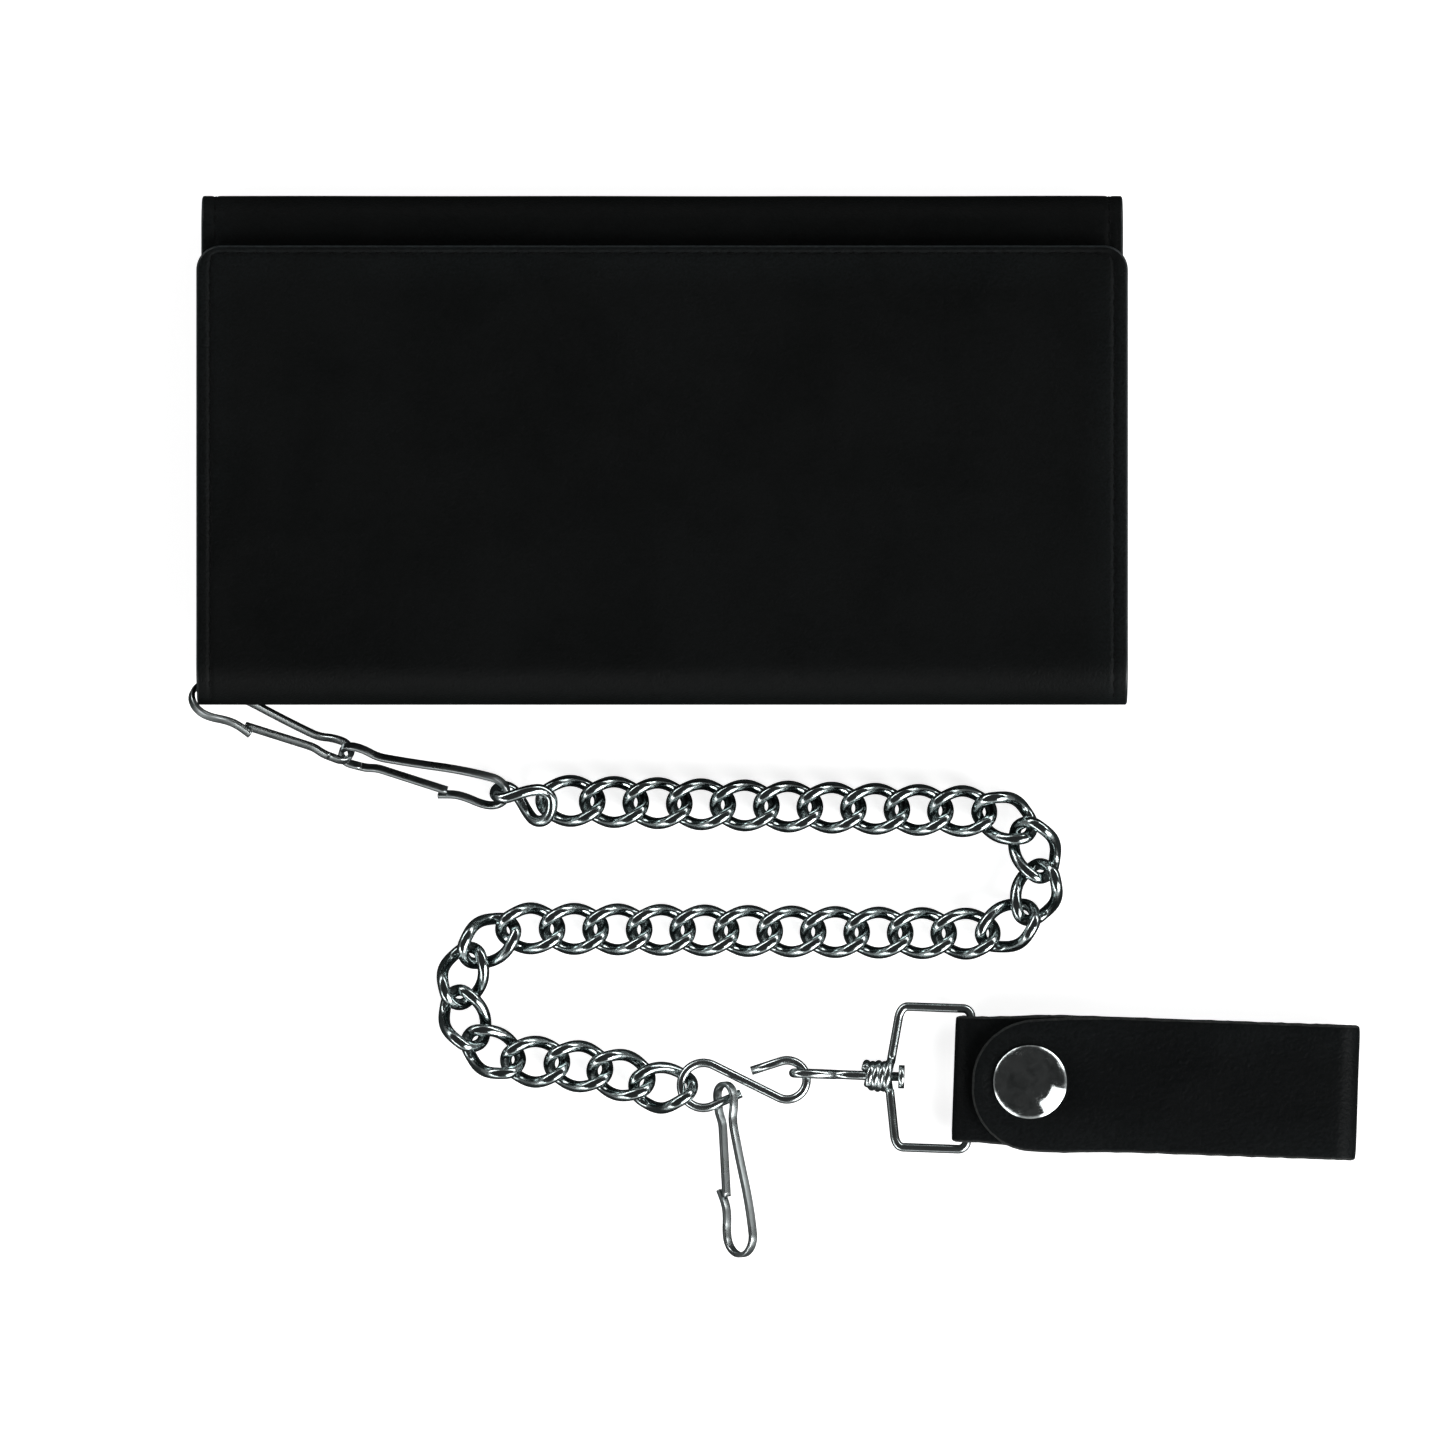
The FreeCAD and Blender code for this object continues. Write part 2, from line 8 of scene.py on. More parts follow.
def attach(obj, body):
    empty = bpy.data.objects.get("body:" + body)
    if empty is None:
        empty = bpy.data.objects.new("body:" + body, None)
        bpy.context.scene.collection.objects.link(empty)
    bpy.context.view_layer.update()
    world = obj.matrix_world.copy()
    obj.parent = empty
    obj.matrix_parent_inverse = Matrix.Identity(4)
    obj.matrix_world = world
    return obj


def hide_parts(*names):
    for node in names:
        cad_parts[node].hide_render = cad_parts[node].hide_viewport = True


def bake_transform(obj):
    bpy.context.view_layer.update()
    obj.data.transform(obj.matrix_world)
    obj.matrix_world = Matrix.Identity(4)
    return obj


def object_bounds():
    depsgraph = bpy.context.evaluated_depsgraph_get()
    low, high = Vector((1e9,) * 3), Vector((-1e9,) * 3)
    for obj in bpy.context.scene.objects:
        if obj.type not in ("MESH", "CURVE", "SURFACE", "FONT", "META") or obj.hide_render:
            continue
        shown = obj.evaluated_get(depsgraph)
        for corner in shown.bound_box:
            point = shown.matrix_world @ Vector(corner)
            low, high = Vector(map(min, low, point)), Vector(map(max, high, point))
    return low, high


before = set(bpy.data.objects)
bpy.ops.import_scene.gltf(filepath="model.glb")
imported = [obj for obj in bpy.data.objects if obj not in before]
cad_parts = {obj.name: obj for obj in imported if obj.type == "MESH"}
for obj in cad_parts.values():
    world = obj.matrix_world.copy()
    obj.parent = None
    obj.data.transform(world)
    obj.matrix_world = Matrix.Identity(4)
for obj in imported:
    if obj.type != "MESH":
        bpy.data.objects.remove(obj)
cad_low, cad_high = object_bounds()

# Looks of the chain wallet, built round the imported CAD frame. Lengths are in millimetres until
# a mesh is made; Blender's own units are metres.
MM = 0.001

# ---- wallet dimensions ----------------------------------------------------------------------
# They follow the CAD part, except that the flap is drawn 0.35 mm less wide on each side and
# 0.6 mm less high. The wallet lies with x along it and y from its bottom fold to its top fold.
LEATHER = 1.5
HALF_COVER = 94.0
HALF_FLAP = 94.9
BOTTOM_Y, FOLD_R = -43.5, 8.5       # centre and outer radius of the bottom fold
TOP_Y, TOP_R = 45.3, 6.7            # and of the top fold
FLAP_TOP = 41.6
CORNER_R = 5.0
PANEL_LOW = 0.8                     # free edge of the card panel
PANEL_CORNER_R = 3.0
STITCH_IN, STITCH_TOP = 2.8, 1.6    # from the side edges and from the flap's top edge
STITCH_PITCH = 3.1
SEAM_REACH = 10.5                   # how far the side seams run down into the bottom fold
SLOT_X, SLOT_TURN = -86.1, 200      # slot for the clip, and its direction from the fold's centre
SLOT_HALF, SLOT_R = 3.4, 2.3
BACK_TOP = 1.52                     # inner face of the back, with a little air
ZIP_Y, ZIP_HALF = 8.0, 75.0
TAPE_Z, TAPE_T = 2.4, 0.7
TOOTH_PITCH = 1.5
CARD_X, CARD_HALF = 45.0, 44.0      # middle and half width of the two stacks of card pockets
CARD_STEP = 9.0

# ---- clip dimensions ------------------------------------------------------------------------
CLIP_THICK, CLIP_WIDE = 1.0, 1.8
EYE_R, HOOK_R, HOOK_U = 2.6, 4.15, 28.4
GATE_FROM, GATE_NECK = (2.0, -EYE_R, 0), (6.4, -1.9, 0)
EYES_MEET = Vector((-64.6, -61.7, 4.4))
EYES_HEADING, EYES_APART = -18.0, 3.0
KEY_EYE = Vector((12.9, -132.1, 3.95))

# ---- ring and strap dimensions --------------------------------------------------------------
RING_Z = 3.15                       # height of the ring bar, and radius of the strap round it
RING_W, RING_H, RING_WIRE_R = 15.8, 28.8, 0.93
BELT_TURN = -2.0
BAR = Vector((62.7, -128.55, RING_Z))
STRAP_T = 2.0
STRAP_HALF, WAIST_HALF = 13.8, 12.9
LAP_X = 27.0                        # inner end of the strap
STRAP_R = 4.65
FAR_X = 74.95
SPLIT_X = FAR_X - 3.0               # where the strap and its tab meet, short of the far fold
TAB_TOP = 6.15
NOSE_X = 0.6
SNAP_FROM_BAR = 12.4
CAP_R, CAP_RISE = 7.5, 2.15


# ---- small helpers --------------------------------------------------------------------------
def smooth01(t):
    t = min(1.0, max(0.0, t))
    return t * t * (3 - 2 * t)


def axes(heading, pitch=0.0, roll=0.0):
    """Length, side and normal directions of something pointing along heading."""
    h, p, r = math.radians(heading), math.radians(pitch), math.radians(roll)
    u = Vector((math.cos(h) * math.cos(p), math.sin(h) * math.cos(p), math.sin(p)))
    side = Vector((-math.sin(h), math.cos(h), 0))
    v = side * math.cos(r) + u.cross(side) * math.sin(r)
    return u, v, u.cross(v)


def placing(at, way):
    """Function that takes local millimetres to the row frame."""
    u, v, n = way
    return lambda p: at + u * p[0] + v * p[1] + n * p[2]


BELT = placing(BAR, axes(BELT_TURN))


def steps(a, b, step):
    """Even positions from a to b, about one step apart."""
    count = max(1, round(abs(b - a) / step))
    return [a + (b - a) * i / count for i in range(count + 1)]


def blend_over(obj):
    """Bake the piece's placement into its mesh."""
    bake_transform(obj)


def make_piece(name, verts, faces, materials, body=None, blend=None, replaces=(), slot=None,
               edge_faces=0, attributes=None):
    """Closed mesh piece; faces numbered from edge_faces take the second material."""
    mesh = bpy.data.meshes.new(name)
    mesh.from_pydata([tuple(c * MM for c in v) for v in verts], [], faces)
    for m in materials:
        mesh.materials.append(m)
    if edge_faces and len(materials) > 1:
        for p in mesh.polygons:
            if p.index >= edge_faces:
                p.material_index = 1
    for key, values in (attributes or {}).items():
        layer = mesh.attributes.new(key, "FLOAT", "POINT")
        layer.data.foreach_set("value", values)
    bm = bmesh.new()
    bm.from_mesh(mesh)
    bmesh.ops.recalc_face_normals(bm, faces=bm.faces)
    bm.to_mesh(mesh)
    bm.free()
    mesh.polygons.foreach_set("use_smooth", [True] * len(mesh.polygons))
    obj = bpy.data.objects.new(name, mesh)
    bpy.context.scene.collection.objects.link(obj)
    if replaces:
        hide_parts(*replaces)
    if body:
        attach(obj, body)
    if blend:
        blend_over(obj)
    return obj


# ---- curves ---------------------------------------------------------------------------------
def arc_points(p0, t0, p1, step=0.25):
    """Points of the arc that leaves p0 along t0 and ends at p1, p0 left out."""
    chord = p1 - p0
    u = chord.normalized()
    side = t0 - u * t0.dot(u)
    if side.length < 1e-6:
        count = max(1, int(chord.length / (step * 3)))
        return [p0 + chord * (i + 1) / count for i in range(count)]
    side.normalize()
    half = math.acos(max(-1.0, min(1.0, t0.normalized().dot(u))))
    radius = chord.length / (2 * math.sin(half))
    centre = p0 + chord / 2 - side * (radius * math.cos(half))
    count = max(2, int(2 * half * radius / step), int(math.degrees(2 * half) / 7))
    out = []
    for i in range(1, count + 1):
        a = -half + 2 * half * i / count
        out.append(centre + (side * math.cos(a) + u * math.sin(a)) * radius)
    return out


def biarc_points(p0, t0, p1, t1, step=0.25):
    """Points of two arcs that join p0, leaving along t0, to p1, arriving along t1; p0 left out."""
    v = p1 - p0
    t = t0 + t1
    a = 2 * (1 - t0.dot(t1))
    b = 2 * v.dot(t)
    c = -v.dot(v)
    d = -c / b if a < 1e-9 else (-b + math.sqrt(b * b - 4 * a * c)) / (2 * a)
    mid = (p0 + p1 + (t0 - t1) * d) * 0.5
    chord = (mid - p0).normalized()
    way = chord * (2 * t0.dot(chord)) - t0
    return arc_points(p0, t0, mid, step) + arc_points(mid, way, p1, step)


def sweep(points, section, flat_normal=None, scale=None):
    """Section (list of side, up pairs) carried along points. flat_normal fixes the up direction."""
    last = len(points) - 1
    tangents = [(points[min(i + 1, last)] - points[max(i - 1, 0)]).normalized()
                for i in range(last + 1)]
    up = flat_normal or tangents[0].orthogonal().normalized()
    verts, faces = [], []
    m = len(section)
    for i, (p, t) in enumerate(zip(points, tangents)):
        up = (up - t * up.dot(t)).normalized()
        side = up.cross(t)
        k = scale(i / last) if scale else 1.0
        verts += [p + side * (a * k) + up * (b * k) for a, b in section]
    for i in range(last):
        for j in range(m):
            k = (j + 1) % m
            faces.append((i * m + j, i * m + k, (i + 1) * m + k, (i + 1) * m + j))
    for end, order in ((0, 1), (last, -1)):
        centre = sum((verts[end * m + j] for j in range(m)), Vector()) / m
        verts.append(centre)
        hub = len(verts) - 1
        for j in range(m):
            faces.append((hub, end * m + j, end * m + (j + 1) % m)[::order])
    return verts, faces


def circle(radius, count):
    turns = [2 * math.pi * i / count for i in range(count)]
    return [(radius * math.cos(a), radius * math.sin(a)) for a in turns]


def soft_rectangle(wide, high, radius, per_corner):
    out = []
    for cx, cy, a0 in ((1, 1, 0), (-1, 1, 90), (-1, -1, 180), (1, -1, 270)):
        for a in (math.radians(a0 + 90 * i / (per_corner - 1)) for i in range(per_corner)):
            out.append((cx * (wide / 2 - radius) + radius * math.cos(a),
                        cy * (high / 2 - radius) + radius * math.sin(a)))
    return out


def lathe(profile, count):
    """Profile of (radius, height) pairs turned round Z and closed at both ends."""
    verts, faces = [], []
    for r, z in profile:
        verts += [(x, y, z) for x, y in circle(r, count)]
    for k in range(len(profile) - 1):
        for i in range(count):
            n = (i + 1) % count
            faces.append((k * count + i, k * count + n, (k + 1) * count + n, (k + 1) * count + i))
    for k in (0, len(profile) - 1):
        verts.append((0, 0, profile[k][1]))
        hub = len(verts) - 1
        for i in range(count):
            faces.append((hub, k * count + i, k * count + (i + 1) % count))
    return verts, faces


# ---- leather sheets -------------------------------------------------------------------------
class Path:
    """Outer surface of a leather piece seen from its end: lines and arcs with outward normals."""

    def __init__(self):
        self.parts = []
        self.length = 0.0

    def line(self, a0, b0, a1, b1, na, nb):
        size = math.hypot(a1 - a0, b1 - b0)

        def at(s):
            k = s / size
            return a0 + (a1 - a0) * k, b0 + (b1 - b0) * k, na, nb

        self.parts.append((self.length, size, at))
        self.length += size
        return self

    def arc(self, ca, cb, radius, start, stop):
        size = math.radians(abs(stop - start)) * radius

        def at(s):
            a = math.radians(start + (stop - start) * s / size)
            return ca + radius * math.cos(a), cb + radius * math.sin(a), math.cos(a), math.sin(a)

        self.parts.append((self.length, size, at))
        self.length += size
        return self

    def at(self, s):
        s = min(self.length, max(0.0, s))
        for begin, size, at in self.parts:
            if s <= begin + size + 1e-9:
                return at(s - begin)
        return self.parts[-1][2](self.parts[-1][1])


class Sheet:
    """Leather of even thickness along a path, rounded at its edges and pressed at its seams.

    width is the half width at a distance along the path, and where() takes a place across the
    sheet and a point of the path to the row frame. corners are the radii at both ends of the
    path, and free tells which ends are free edges. lift() raises the whole sheet and groove()
    its outer face only.
    """

    def __init__(self, path, width, thick, rows, where, corners=(0.0, 0.0), free=(True, True),
                 edge=0.4, lift=None, groove=None):
        self.path, self.width, self.thick = path, width, thick
        self.where, self.corners, self.free = where, corners, free
        self.edge, self.lift, self.groove = edge, lift, groove
        self.rows = []
        r0, r1 = corners
        length = path.length
        if r0:
            self.rows += [("first", a) for a in steps(90, 0, 5)]
        else:
            self.rows.append(("start", 0.0))
        inner = [s for s in rows if r0 + 0.7 < s < length - r1 - 0.7]
        self.rows += [("row", s) for s in inner]
        if r1:
            self.rows += [("last", a) for a in steps(0, 90, 4)]
        else:
            self.rows.append(("stop", length))

    def spot(self, row, inset):
        """Distance along the path and half width of a row, at an inset from the outline."""
        kind, value = row
        r0, r1 = self.corners
        length = self.path.length
        if kind == "row":
            return value, self.width(value) - inset
        if kind == "start":
            return inset, self.width(inset) - inset
        if kind == "stop":
            return length - inset, self.width(length - inset) - inset
        a = math.radians(value)
        if kind == "first":
            s = r0 - (r0 - inset) * math.sin(a)
            return s, self.width(s) - r0 + (r0 - inset) * math.cos(a)
        s = length - r1 + (r1 - inset) * math.sin(a)
        return s, self.width(s) - r1 + (r1 - inset) * math.cos(a)

    def from_edge(self, x, s):
        """Distance from the nearest free edge."""
        dx = self.width(s) - abs(x)
        best = dx
        for free, r, ds in ((self.free[0], self.corners[0], s),
                            (self.free[1], self.corners[1], self.path.length - s)):
            if not free:
                continue
            if dx < r and ds < r:
                best = min(best, r - math.hypot(r - dx, r - ds))
            else:
                best = min(best, ds)
        return best

    def point(self, x, s, depth):
        """Point of the sheet in the row frame, at a depth under its outer face."""
        a, b, na, nb = self.path.at(s)
        near = self.from_edge(x, s)
        up = self.lift(x, s, near) if self.lift else 0.0
        if self.groove and depth < self.thick * 0.3:
            up += self.groove(x, s, near)
        return self.where(x, a + na * (up - depth), b + nb * (up - depth))

    def frame_at(self, x, s, h=0.2):
        """Surface point with its normal, and directions along x and along the path."""
        p = self.point(x, s, 0)
        dx = (self.point(x + h, s, 0) - self.point(x - h, s, 0)).normalized()
        ds = (self.point(x, s + h, 0) - self.point(x, s - h, 0)).normalized()
        a, b, na, nb = self.path.at(s)
        out = self.where(0, a + na, b + nb) - self.where(0, a, b)
        n = dx.cross(ds).normalized()
        return p, (n if n.dot(out) > 0 else -n), dx, ds

    def build(self, name, cols, materials, rings=5, **options):
        """Piece with an outer and an inner face and a rim of the given number of strips."""
        verts, near, faces = [], [], []
        nc, nr = len(cols), len(self.rows)

        def add(row, u, inset, depth):
            s, half = self.spot(row, inset)
            verts.append(self.point(u * half, s, depth))
            near.append(self.from_edge(u * half, s))
            return len(verts) - 1

        layers = []
        for depth in (0.0, self.thick):
            layers.append([[add(row, u, self.edge, depth) for u in cols] for row in self.rows])
            g = layers[-1]
            for i in range(nr - 1):
                for j in range(nc - 1):
                    faces.append((g[i][j], g[i][j + 1], g[i + 1][j + 1], g[i + 1][j]))
        flat_faces = len(faces)
        rim = [(0, j) for j in range(nc)] + [(i, nc - 1) for i in range(1, nr)]
        rim += [(nr - 1, j) for j in range(nc - 2, -1, -1)] + [(i, 0) for i in range(nr - 2, 0, -1)]
        loops = [[layers[0][i][j] for i, j in rim]]
        for k in range(1, rings):
            a = math.pi * k / rings
            inset = self.edge * (1 - math.sin(a))
            depth = self.thick / 2 * (1 - math.cos(a))
            loops.append([add(self.rows[i], cols[j], inset, depth) for i, j in rim])
        loops.append([layers[1][i][j] for i, j in rim])
        for one, two in zip(loops, loops[1:]):
            for k in range(len(rim)):
                n = (k + 1) % len(rim)
                faces.append((one[k], one[n], two[n], two[k]))
        return make_piece(name, verts, faces, materials, edge_faces=flat_faces,
                          attributes={"near_edge": near}, **options)


# Distances from the side edges at which a sheet's columns stand, close together at the seams.
EDGE_STEPS = (0, 0.5, 1.0, 1.5, 1.9, 2.2, 2.5, 2.8, 3.1, 3.5, 4.2, 5.4, 7.5, 10.5, 15, 21)


def columns(half, fine=EDGE_STEPS, coarse=6.0):
    """Column positions as shares of the half width, close together near the edges."""
    near = [d for d in fine if d < half * 0.6]
    left = [-1 + d / half for d in near]
    middle = steps(left[-1], -left[-1], coarse / half)[1:-1]
    return left + middle + [-u for u in reversed(left)]


def wave(x, y, scale, seed):
    """Smooth noise; seed gives each use its own."""
    return noise.noise(Vector((x / scale, y / scale, seed)))


def seam_press(depth, at, width=0.42):
    """Groove under a seam that runs at a distance from the edge."""
    return lambda x, s, near: -depth * math.exp(-(((near - at) / width) ** 2))


def on_wallet(x, a, b):
    """Row frame place of a wallet sheet, whose path is drawn in y and z."""
    return Vector((x, a, b))


def on_belt(x, a, b):
    """Row frame place of a strap sheet, whose path is drawn along the strap and up."""
    return BELT((a, x, b))


# ---- thread ---------------------------------------------------------------------------------
def thread_bits(places, length=2.45, radius=0.27, lean=6.0, sunk=0.16):
    """Short stitches: each arcs out of one hole and into the next."""
    verts, faces = [], []
    sides, rings = 7, 7
    for centre, normal, along in places:
        along = (along - normal * along.dot(normal)).normalized()
        across = normal.cross(along)
        turn = math.radians(lean)
        way = along * math.cos(turn) + across * math.sin(turn)
        flat = normal.cross(way)
        base = len(verts)
        for i in range(rings):
            t = 2 * i / (rings - 1) - 1
            r = radius * math.sqrt(max(0.04, 1 - t ** 6))
            p = centre + way * (t * length / 2) + normal * (0.14 - sunk - 0.42 * abs(t) ** 3)
            for j in range(sides):
                a = 2 * math.pi * j / sides
                verts.append(p + flat * (r * math.cos(a)) + normal * (r * 0.85 * math.sin(a)))
        for i in range(rings - 1):
            for j in range(sides):
                k = (j + 1) % sides
                a = base + i * sides
                faces.append((a + j, a + k, a + sides + k, a + sides + j))
        faces.append(tuple(base + j for j in range(sides)))
        faces.append(tuple(base + (rings - 1) * sides + j for j in range(sides)))
    return verts, faces


def seam_places(sheet, outline):
    """Stitch places along a polyline of (x, s) points on a sheet."""
    lengths = [math.dist(p, q) for p, q in zip(outline, outline[1:])]
    total = sum(lengths)
    count = int(total / STITCH_PITCH)
    places = []
    for i in range(count):
        d = (i + 0.5) * total / count
        k = 0
        while k < len(lengths) - 1 and d > lengths[k]:
            d -= lengths[k]
            k += 1
        p, q = outline[k], outline[k + 1]
        f = d / lengths[k]
        x, s = p[0] + (q[0] - p[0]) * f, p[1] + (q[1] - p[1]) * f
        at, normal, dx, ds = sheet.frame_at(x, s)
        along = dx * (q[0] - p[0]) + ds * (q[1] - p[1])
        places.append((at, normal, along.normalized()))
    return places


def corner_line(x, s, radius, start, stop):
    """Rounded corner of a seam, as points on the sheet."""
    return [(x + radius * math.cos(math.radians(a)), s + radius * math.sin(math.radians(a)))
            for a in steps(start, stop, 12)]


# ---- materials ------------------------------------------------------------------------------
class Nodes:
    """Short way to write a node material."""

    def __init__(self, name=None, tree=None):
        self.tree = tree
        if name:
            self.material = bpy.data.materials.new(name)
            self.material.use_nodes = True
            self.tree = self.material.node_tree
            self.shader = next(n for n in self.tree.nodes if n.type == "BSDF_PRINCIPLED")
            self.coords = self.add("ShaderNodeTexCoord").outputs["Object"]

    def add(self, kind, **values):
        node = self.tree.nodes.new(kind)
        for key, value in values.items():
            setattr(node, key, value)
        return node

    def put(self, node, socket, value):
        target = node.inputs[socket]
        if isinstance(value, bpy.types.NodeSocket):
            self.tree.links.new(value, target)
        elif isinstance(value, tuple) and len(value) == 3 and target.type == "RGBA":
            target.default_value = (*value, 1)
        else:
            target.default_value = value
        return node

    def noise(self, scale, detail=3.0, rough=0.55, stretch=None, distort=0.0):
        node = self.add("ShaderNodeTexNoise")
        for key, value in (("Scale", scale), ("Detail", detail), ("Roughness", rough),
                           ("Distortion", distort)):
            self.put(node, key, value)
        self.put(node, "Vector", self.stretched(stretch) if stretch else self.coords)
        return node.outputs["Fac"]

    def stretched(self, scale, turn=(0, 0, 0)):
        node = self.add("ShaderNodeMapping")
        self.put(node, "Vector", self.coords)
        self.put(node, "Scale", scale)
        self.put(node, "Rotation", turn)
        return node.outputs["Vector"]

    def cells(self, scale):
        node = self.add("ShaderNodeTexVoronoi", feature="SMOOTH_F1")
        self.put(node, "Scale", scale)
        self.put(node, "Vector", self.coords)
        return node.outputs["Distance"]

    def ramp(self, value, low, high, out_low=0.0, out_high=1.0):
        """Soft step from out_low to out_high while value goes from low to high."""
        node = self.add("ShaderNodeMapRange", interpolation_type="SMOOTHSTEP")
        for key, v in (("Value", value), ("From Min", low), ("From Max", high),
                       ("To Min", out_low), ("To Max", out_high)):
            self.put(node, key, v)
        return node.outputs["Result"]

    def math(self, operation, *values):
        node = self.add("ShaderNodeMath", operation=operation)
        for i, value in enumerate(values):
            self.put(node, i, value)
        return node.outputs[0]

    def mix(self, share, a, b):
        node = self.add("ShaderNodeMix", data_type="RGBA")
        self.put(node, 0, share)
        for index, value in ((6, a), (7, b)):
            if isinstance(value, tuple):
                node.inputs[index].default_value = (*value, 1)
            else:
                self.tree.links.new(value, node.inputs[index])
        return node.outputs[2]

    def attribute(self, name):
        return self.add("ShaderNodeAttribute", attribute_name=name).outputs["Fac"]

    def bump(self, height, strength, distance, below=None):
        node = self.add("ShaderNodeBump")
        self.put(node, "Height", height)
        self.put(node, "Strength", strength)
        self.put(node, "Distance", distance)
        if below is not None:
            self.put(node, "Normal", below)
        return node.outputs["Normal"]

    def finish(self, **values):
        """Set the shader's inputs, named with underscores, and give the material."""
        for key, value in values.items():
            self.put(self.shader, key.replace("_", " "), value)
        return self.material


def leather(name, dark, light, rough, gloss, grain=0.35, grain_scale=1500.0):
    """Fine smooth hide: pores, soft creases, patches lighter towards the edges."""
    n = Nodes(name)
    broad = n.noise(16, 4, 0.6)
    patch = n.noise(45, 5, 0.65, distort=0.4)
    pores = n.cells(grain_scale)
    fine = n.noise(grain_scale * 1.3, 3, 0.65)
    crease = n.noise(160, 4, 0.6, stretch=(1.0, 0.35, 1.0))
    # the colour turns lighter within 15 mm of a free edge
    lighter_near_edge = n.ramp(n.attribute("near_edge"), 0.0, 15.0, 1.0, 0.0)
    lighter_near_edge = n.math("MULTIPLY", lighter_near_edge, n.ramp(broad, 0.3, 0.6, 0.2, 1.0))
    tone = n.ramp(n.math("ADD", n.math("MULTIPLY", broad, 0.5), n.math("MULTIPLY", patch, 0.5)),
                  0.3, 0.75, 0.15, 0.4)
    tone = n.math("MAXIMUM", tone, lighter_near_edge)
    speck = n.ramp(fine, 0.34, 0.62, 0.75, 0.0)
    colour = n.mix(tone, dark, light)
    colour = n.mix(speck, colour, dark)
    normal = n.bump(pores, grain, 0.00012)
    normal = n.bump(fine, min(1.0, grain * 2.2), 0.00022, normal)
    normal = n.bump(crease, grain * 0.35, 0.0003, normal)
    roughness = n.ramp(patch, 0.3, 0.7, rough - 0.06, rough + 0.08)
    return n.finish(Base_Color=colour, Roughness=roughness, Normal=normal,
                    Specular_IOR_Level=gloss)


def painted_edge(name, dark, light, rough, fibre=0.4, scale=900.0):
    """Cut edge of the leather: dyed, slightly glossy, with fine fibres along it."""
    n = Nodes(name)
    strands = n.noise(scale, 4, 0.7)
    tone = n.ramp(strands, 0.3, 0.75)
    normal = n.bump(strands, fibre, 0.0002)
    return n.finish(Base_Color=n.mix(tone, dark, light), Roughness=rough, Normal=normal,
                    Specular_IOR_Level=0.45)


def cloth(name, dark, light):
    """Zipper tape: two crossing waves, broader than the tape, shade it slowly under fine fuzz."""
    n = Nodes(name)
    waves = []
    for turn in (0.0, math.pi / 2):
        node = n.add("ShaderNodeTexWave", wave_profile="SIN")
        n.put(node, "Vector", n.stretched((1, 1, 1), (0, 0, turn)))
        n.put(node, "Scale", 0.628)
        n.put(node, "Distortion", 0.3)
        n.put(node, "Detail", 1.0)
        waves.append(node.outputs["Fac"])
    shade = n.math("MULTIPLY", waves[0], waves[1])
    fuzz = n.noise(2500, 3)
    height = n.math("ADD", shade, n.math("MULTIPLY", fuzz, 0.4))
    normal = n.bump(height, 0.5, 0.00025)
    return n.finish(Base_Color=n.mix(shade, dark, light), Roughness=0.75, Normal=normal,
                    Specular_IOR_Level=0.2, Sheen_Weight=0.15)


def twisted_thread(name, dark, light):
    """Thread with its strands as slanting bands."""
    n = Nodes(name)
    strands = n.add("ShaderNodeTexWave", wave_profile="SIN", bands_direction="DIAGONAL")
    n.put(strands, "Vector", n.coords)
    n.put(strands, "Scale", 900.0)
    normal = n.bump(strands.outputs["Fac"], 0.6, 0.0001)
    return n.finish(Base_Color=n.mix(strands.outputs["Fac"], dark, light), Roughness=0.7,
                    Normal=normal, Specular_IOR_Level=0.1)


def metal(name, colour, tarnish, rough, scratch, scuffs=0.0, patches=260):
    """Plated wire: uneven polish, fine scratches, darker film in patches (on the cap also a painted
    reflection).
    """
    n = Nodes(name)
    film = n.noise(patches, 4, 0.55, distort=0.5)
    lines = n.noise(1800, 3, 0.6)
    pits = n.noise(5200, 2)
    rough_map = n.ramp(film, 0.3, 0.75, rough * 0.7, rough * 1.5)
    if scuffs:
        marks = n.ramp(n.noise(500, 7, 0.75, distort=1.5), 0.45, 0.8, 0.0, scuffs)
        rough_map = n.math("ADD", rough_map, marks)
    normal = n.bump(lines, scratch, 0.00008)
    normal = n.bump(pits, scratch * 0.5, 0.00003, normal)
    tone = n.ramp(film, 0.3, 0.8, 0.0, 0.8)
    return n.finish(Base_Color=n.mix(tone, colour, tarnish), Metallic=1.0, Roughness=rough_map,
                    Normal=normal)


# Each material mixes two linear colours by its pattern; the number after them is its roughness.
HIDE = leather("wallet_hide", (0.0012, 0.0016, 0.0015), (0.0052, 0.0069, 0.0072), 0.52, gloss=0.1)
# Real edge paint, made lighter than the hide partly as a painted highlight for the rim light on the
# rounded edges.
HIDE_EDGE = painted_edge("wallet_edge", (0.006, 0.009, 0.0095), (0.02, 0.028, 0.03), 0.34)
STRAP_HIDE = leather("strap_hide", (0.0018, 0.0024, 0.0026), (0.0056, 0.0072, 0.0076), 0.5,
                     grain=0.5, gloss=0.11, grain_scale=1100.0)
STRAP_EDGE = painted_edge("strap_edge", (0.006, 0.007, 0.007), (0.03, 0.034, 0.032), 0.8,
                          fibre=0.9, scale=1500.0)
LINING = leather("lining_hide", (0.008, 0.009, 0.0095), (0.018, 0.02, 0.021), 0.55, grain=0.3,
                 gloss=0.25, grain_scale=1900.0)
CLOTH = cloth("pocket_cloth", (0.006, 0.007, 0.008), (0.022, 0.024, 0.027))
THREAD = twisted_thread("seam_thread", (0.0006, 0.0007, 0.0007), (0.004, 0.0048, 0.0048))
CHAIN_METAL = metal("dark_nickel", (0.50, 0.56, 0.56), (0.20, 0.24, 0.24), 0.13, 0.25)
WIRE_METAL = metal("bright_nickel", (0.62, 0.67, 0.67), (0.42, 0.47, 0.47), 0.18, 0.2)
CLIP_METAL = metal("satin_nickel", (0.50, 0.54, 0.54), (0.34, 0.37, 0.37), 0.29, 0.03,
                   patches=90)
